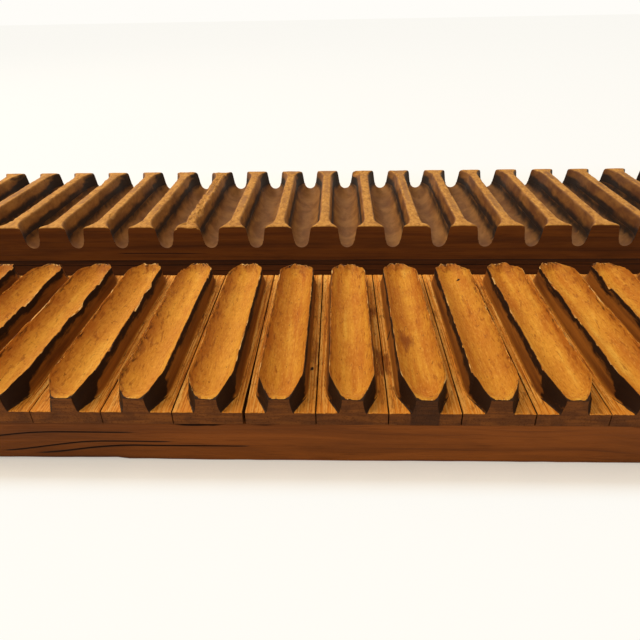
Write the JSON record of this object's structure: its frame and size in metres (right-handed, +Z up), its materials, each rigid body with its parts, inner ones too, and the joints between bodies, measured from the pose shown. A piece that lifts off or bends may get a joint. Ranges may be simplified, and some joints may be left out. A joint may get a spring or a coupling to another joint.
{
  "type": "cigar mould",
  "caption": "Two-part wooden cigar mould lying open: a base half with a row of hollowed tongues and a slotted cover half that turns over onto it and presses the cigars round.",
  "frame": {"origin": "on the table under the open mould, midway between the two halves and at mid length", "axes": "+X along the row of cavities, +Y from the base half to the cover half, +Z up"},
  "size_m": [0.56, 0.2554, 0.04],
  "materials": {
    "block_wood": "satin, aged honey-coloured hardwood",
    "base_plank_wood": "satin, dark aged hardwood",
    "cover_wood": "satin, aged hardwood stained by tobacco",
    "backing_wood": "satin, dark aged hardwood",
    "pin_wood": "satin, pale dowel",
    "screw_steel": "dull, darkened with age"
  },
  "bodies": {
    "base_half": {"base_plank": "base_plank_wood", "base_block_01": "block_wood", "base_block_02": "block_wood", "base_block_03": "block_wood", "base_block_04": "block_wood", "base_block_05": "block_wood", "base_block_06": "block_wood", "base_block_07": "block_wood", "base_block_08": "block_wood", "base_block_09": "block_wood", "base_block_10": "block_wood", "base_block_11": "block_wood", "base_block_12": "block_wood", "base_block_13": "block_wood", "base_block_14": "block_wood", "base_block_15": "block_wood", "base_block_16": "block_wood", "base_block_17": "block_wood", "base_block_18": "block_wood", "base_block_19": "block_wood", "base_block_20": "block_wood", "base_end_block_left": "block_wood", "base_end_block_right": "block_wood", "base_end_screws": "screw_steel", "guide_pin_left": "pin_wood", "guide_pin_right": "pin_wood"},
    "cover_half": {"cover_slotted_plank": "cover_wood", "cover_backing_plank": "backing_wood", "cover_screws": "screw_steel"}
  },
  "joints": [
    {"name": "cover_turn", "type": "hinge", "parent": "base_half", "child": "cover_half", "pos_m": [0, 0, 0.03205], "axis": [1, 0, 0], "range_deg": [0, 180]}
  ]
}
